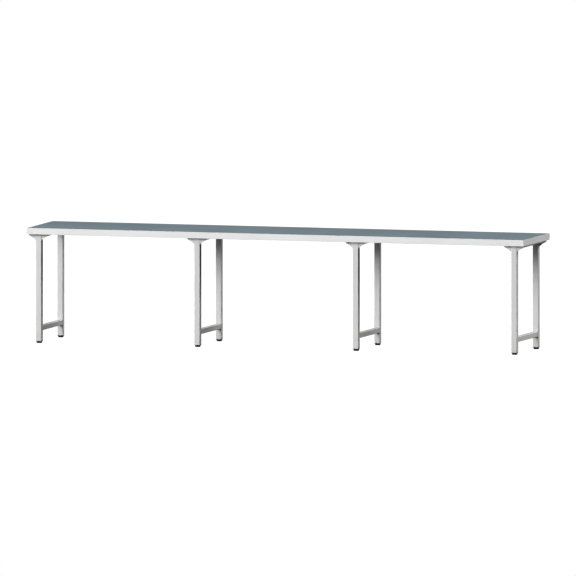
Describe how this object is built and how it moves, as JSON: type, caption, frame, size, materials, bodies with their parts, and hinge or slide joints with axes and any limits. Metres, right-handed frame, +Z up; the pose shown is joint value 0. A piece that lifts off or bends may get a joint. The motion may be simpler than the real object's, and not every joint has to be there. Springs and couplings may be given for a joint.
{
  "type": "long work platform bench",
  "caption": "Long bench or work platform: a flat laminate deck on welded square-tube frames with gusseted head channels, foot rails and screw levelling feet.",
  "frame": {"origin": "on the floor, under the middle of the deck", "axes": "+X along the deck, +Y to the back, +Z up"},
  "size_m": [4, 0.69, 0.89],
  "materials": {
    "deck_laminate": "blue-grey laminate with a fine matt texture",
    "deck_board": "pressed wood board with a grey balancing sheet beneath",
    "edge_band": "light grey satin plastic edging",
    "frame_paint": "light grey powder coat, satin, fine orange peel",
    "foot_plastic": "black moulded plastic",
    "foot_rubber": "black moulded rubber, matt",
    "zinc_steel": "bright zinc plate"
  },
  "bodies": {
    "bench": {"deck_surface": "deck_laminate", "deck_core": "deck_board", "deck_edge_band": "edge_band", "head_channel_1": "frame_paint", "foot_rail_1": "frame_paint", "leg_1_front": "frame_paint", "gusset_1_front_left": "frame_paint", "gusset_1_front_right": "frame_paint", "leg_1_back": "frame_paint", "gusset_1_back_left": "frame_paint", "gusset_1_back_right": "frame_paint", "head_channel_2": "frame_paint", "foot_rail_2": "frame_paint", "leg_2_front": "frame_paint", "gusset_2_front_left": "frame_paint", "gusset_2_front_right": "frame_paint", "leg_2_back": "frame_paint", "gusset_2_back_left": "frame_paint", "gusset_2_back_right": "frame_paint", "head_channel_3": "frame_paint", "foot_rail_3": "frame_paint", "leg_3_front": "frame_paint", "gusset_3_front_left": "frame_paint", "gusset_3_front_right": "frame_paint", "leg_3_back": "frame_paint", "gusset_3_back_left": "frame_paint", "gusset_3_back_right": "frame_paint", "head_channel_4": "frame_paint", "foot_rail_4": "frame_paint", "leg_4_front": "frame_paint", "gusset_4_front_left": "frame_paint", "gusset_4_front_right": "frame_paint", "leg_4_back": "frame_paint", "gusset_4_back_left": "frame_paint", "gusset_4_back_right": "frame_paint", "foot_insert_1_front": "foot_plastic", "foot_insert_1_back": "foot_plastic", "foot_insert_2_front": "foot_plastic", "foot_insert_2_back": "foot_plastic", "foot_insert_3_front": "foot_plastic", "foot_insert_3_back": "foot_plastic", "foot_insert_4_front": "foot_plastic", "foot_insert_4_back": "foot_plastic"},
    "pad_1_front": {"foot_pad_1_front": "foot_rubber"},
    "stem_1_front": {"foot_stem_1_front": "zinc_steel"},
    "pad_1_back": {"foot_pad_1_back": "foot_rubber"},
    "stem_1_back": {"foot_stem_1_back": "zinc_steel"},
    "pad_2_front": {"foot_pad_2_front": "foot_rubber"},
    "stem_2_front": {"foot_stem_2_front": "zinc_steel"},
    "pad_2_back": {"foot_pad_2_back": "foot_rubber"},
    "stem_2_back": {"foot_stem_2_back": "zinc_steel"},
    "pad_3_front": {"foot_pad_3_front": "foot_rubber"},
    "stem_3_front": {"foot_stem_3_front": "zinc_steel"},
    "pad_3_back": {"foot_pad_3_back": "foot_rubber"},
    "stem_3_back": {"foot_stem_3_back": "zinc_steel"},
    "pad_4_front": {"foot_pad_4_front": "foot_rubber"},
    "stem_4_front": {"foot_stem_4_front": "zinc_steel"},
    "pad_4_back": {"foot_pad_4_back": "foot_rubber"},
    "stem_4_back": {"foot_stem_4_back": "zinc_steel"}
  },
  "joints": [
    {"name": "level_1_front", "type": "slide", "parent": "bench", "child": "pad_1_front", "axis": [0, 0, -1], "range_m": [0, 0.015]},
    {"name": "turn_1_front", "type": "hinge", "parent": "pad_1_front", "child": "stem_1_front", "pos_m": [-1.9125, -0.29, 0.03], "axis": [0, 0, -1], "range_deg": [0, 3600.5]},
    {"name": "level_1_back", "type": "slide", "parent": "bench", "child": "pad_1_back", "axis": [0, 0, -1], "range_m": [0, 0.015]},
    {"name": "turn_1_back", "type": "hinge", "parent": "pad_1_back", "child": "stem_1_back", "pos_m": [-1.9125, 0.275, 0.03], "axis": [0, 0, -1], "range_deg": [0, 3600.5]},
    {"name": "level_2_front", "type": "slide", "parent": "bench", "child": "pad_2_front", "axis": [0, 0, -1], "range_m": [0, 0.015]},
    {"name": "turn_2_front", "type": "hinge", "parent": "pad_2_front", "child": "stem_2_front", "pos_m": [-0.6375, -0.29, 0.03], "axis": [0, 0, -1], "range_deg": [0, 3600.5]},
    {"name": "level_2_back", "type": "slide", "parent": "bench", "child": "pad_2_back", "axis": [0, 0, -1], "range_m": [0, 0.015]},
    {"name": "turn_2_back", "type": "hinge", "parent": "pad_2_back", "child": "stem_2_back", "pos_m": [-0.6375, 0.275, 0.03], "axis": [0, 0, -1], "range_deg": [0, 3600.5]},
    {"name": "level_3_front", "type": "slide", "parent": "bench", "child": "pad_3_front", "axis": [0, 0, -1], "range_m": [0, 0.015]},
    {"name": "turn_3_front", "type": "hinge", "parent": "pad_3_front", "child": "stem_3_front", "pos_m": [0.6375, -0.29, 0.03], "axis": [0, 0, -1], "range_deg": [0, 3600.5]},
    {"name": "level_3_back", "type": "slide", "parent": "bench", "child": "pad_3_back", "axis": [0, 0, -1], "range_m": [0, 0.015]},
    {"name": "turn_3_back", "type": "hinge", "parent": "pad_3_back", "child": "stem_3_back", "pos_m": [0.6375, 0.275, 0.03], "axis": [0, 0, -1], "range_deg": [0, 3600.5]},
    {"name": "level_4_front", "type": "slide", "parent": "bench", "child": "pad_4_front", "axis": [0, 0, -1], "range_m": [0, 0.015]},
    {"name": "turn_4_front", "type": "hinge", "parent": "pad_4_front", "child": "stem_4_front", "pos_m": [1.9125, -0.29, 0.03], "axis": [0, 0, -1], "range_deg": [0, 3600.5]},
    {"name": "level_4_back", "type": "slide", "parent": "bench", "child": "pad_4_back", "axis": [0, 0, -1], "range_m": [0, 0.015]},
    {"name": "turn_4_back", "type": "hinge", "parent": "pad_4_back", "child": "stem_4_back", "pos_m": [1.9125, 0.275, 0.03], "axis": [0, 0, -1], "range_deg": [0, 3600.5]}
  ],
  "couplings": [
    {"joint": "turn_1_front", "follows": "level_1_front", "rad_per_m": 4188.8},
    {"joint": "turn_1_back", "follows": "level_1_back", "rad_per_m": 4188.8},
    {"joint": "turn_2_front", "follows": "level_2_front", "rad_per_m": 4188.8},
    {"joint": "turn_2_back", "follows": "level_2_back", "rad_per_m": 4188.8},
    {"joint": "turn_3_front", "follows": "level_3_front", "rad_per_m": 4188.8},
    {"joint": "turn_3_back", "follows": "level_3_back", "rad_per_m": 4188.8},
    {"joint": "turn_4_front", "follows": "level_4_front", "rad_per_m": 4188.8},
    {"joint": "turn_4_back", "follows": "level_4_back", "rad_per_m": 4188.8}
  ]
}
